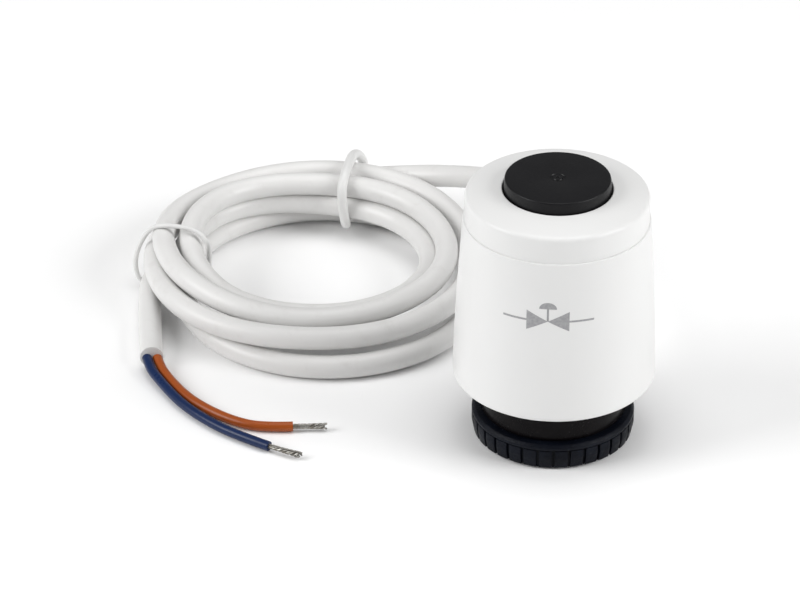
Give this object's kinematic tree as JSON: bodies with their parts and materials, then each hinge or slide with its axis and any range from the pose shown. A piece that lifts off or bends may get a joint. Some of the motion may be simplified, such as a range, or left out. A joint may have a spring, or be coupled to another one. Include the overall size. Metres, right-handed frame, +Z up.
{
  "type": "electro-thermal valve actuator head",
  "caption": "Round electro-thermal valve actuator head with threaded ring nut, position indicator and a coiled two-core cable with stripped ends.",
  "frame": {"origin": "on the head's axis, at the bottom face of the ring nut, where the head stands or meets the valve's neck", "axes": "+Z up along the head's axis, from the ring nut to the position indicator; +Y towards the cable's exit at the back"},
  "size_m": [0.1209, 0.1212, 0.0627],
  "materials": {
    "white_plastic": "satin moulded",
    "black_plastic": "satin moulded",
    "socket_plastic": "smooth moulded",
    "nut_plastic": "fine spark-eroded texture",
    "holder_plastic": "glass-filled moulded",
    "brass": "turned",
    "spring_steel": "drawn wire",
    "plated_steel": "pressed and plated",
    "heater_ceramic": "sintered",
    "wax": "cast",
    "seal_rubber": "moulded",
    "cable_white": "extruded PVC",
    "core_blue": "extruded PVC",
    "core_brown": "extruded PVC",
    "tinned_copper": "twisted strands"
  },
  "bodies": {
    "head": {"base_socket": "socket_plastic", "nut_retaining_ring": "plated_steel", "plunger_seal": "seal_rubber", "housing_shell": "white_plastic", "base_seal": "seal_rubber", "top_cap": "white_plastic", "spring_retainer": "plated_steel", "main_spring": "spring_steel", "element_holder": "holder_plastic", "contact_plate_lower": "brass", "contact_plate_upper": "brass", "heater_disc": "heater_ceramic", "wax_cup": "brass", "wax_charge": "wax", "diaphragm": "seal_rubber", "piston_guide": "brass", "terminal_block": "holder_plastic", "terminal_live": "brass", "terminal_neutral": "brass", "inner_wire_brown": "core_brown", "inner_wire_blue": "core_blue", "cable_grommet": "cable_white", "cable_lead": "cable_white", "cable_coil": "cable_white", "cable_tail": "cable_white", "core_blue": "core_blue", "core_brown": "core_brown", "strands_blue": "tinned_copper", "strands_brown": "tinned_copper", "coil_tie_left": "cable_white", "coil_tie_right": "cable_white"},
    "lift": {"lift_cage": "black_plastic", "lower_yoke": "black_plastic", "plunger": "black_plastic", "thrust_button": "plated_steel", "position_indicator": "black_plastic", "wax_piston": "plated_steel"},
    "nut": {"ring_nut": "nut_plastic"}
  },
  "joints": [
    {"name": "lift_stroke", "type": "slide", "parent": "head", "child": "lift", "axis": [0, 0, 1], "range_m": [0, 0.003], "stiffness_N_per_m": 500, "springref_m": -0.002, "deforming": ["main_spring"]},
    {"name": "nut_spin", "type": "hinge", "parent": "head", "child": "nut", "pos_m": [0, 0, 0.003], "axis": [0, 0, 1], "continuous": true}
  ]
}
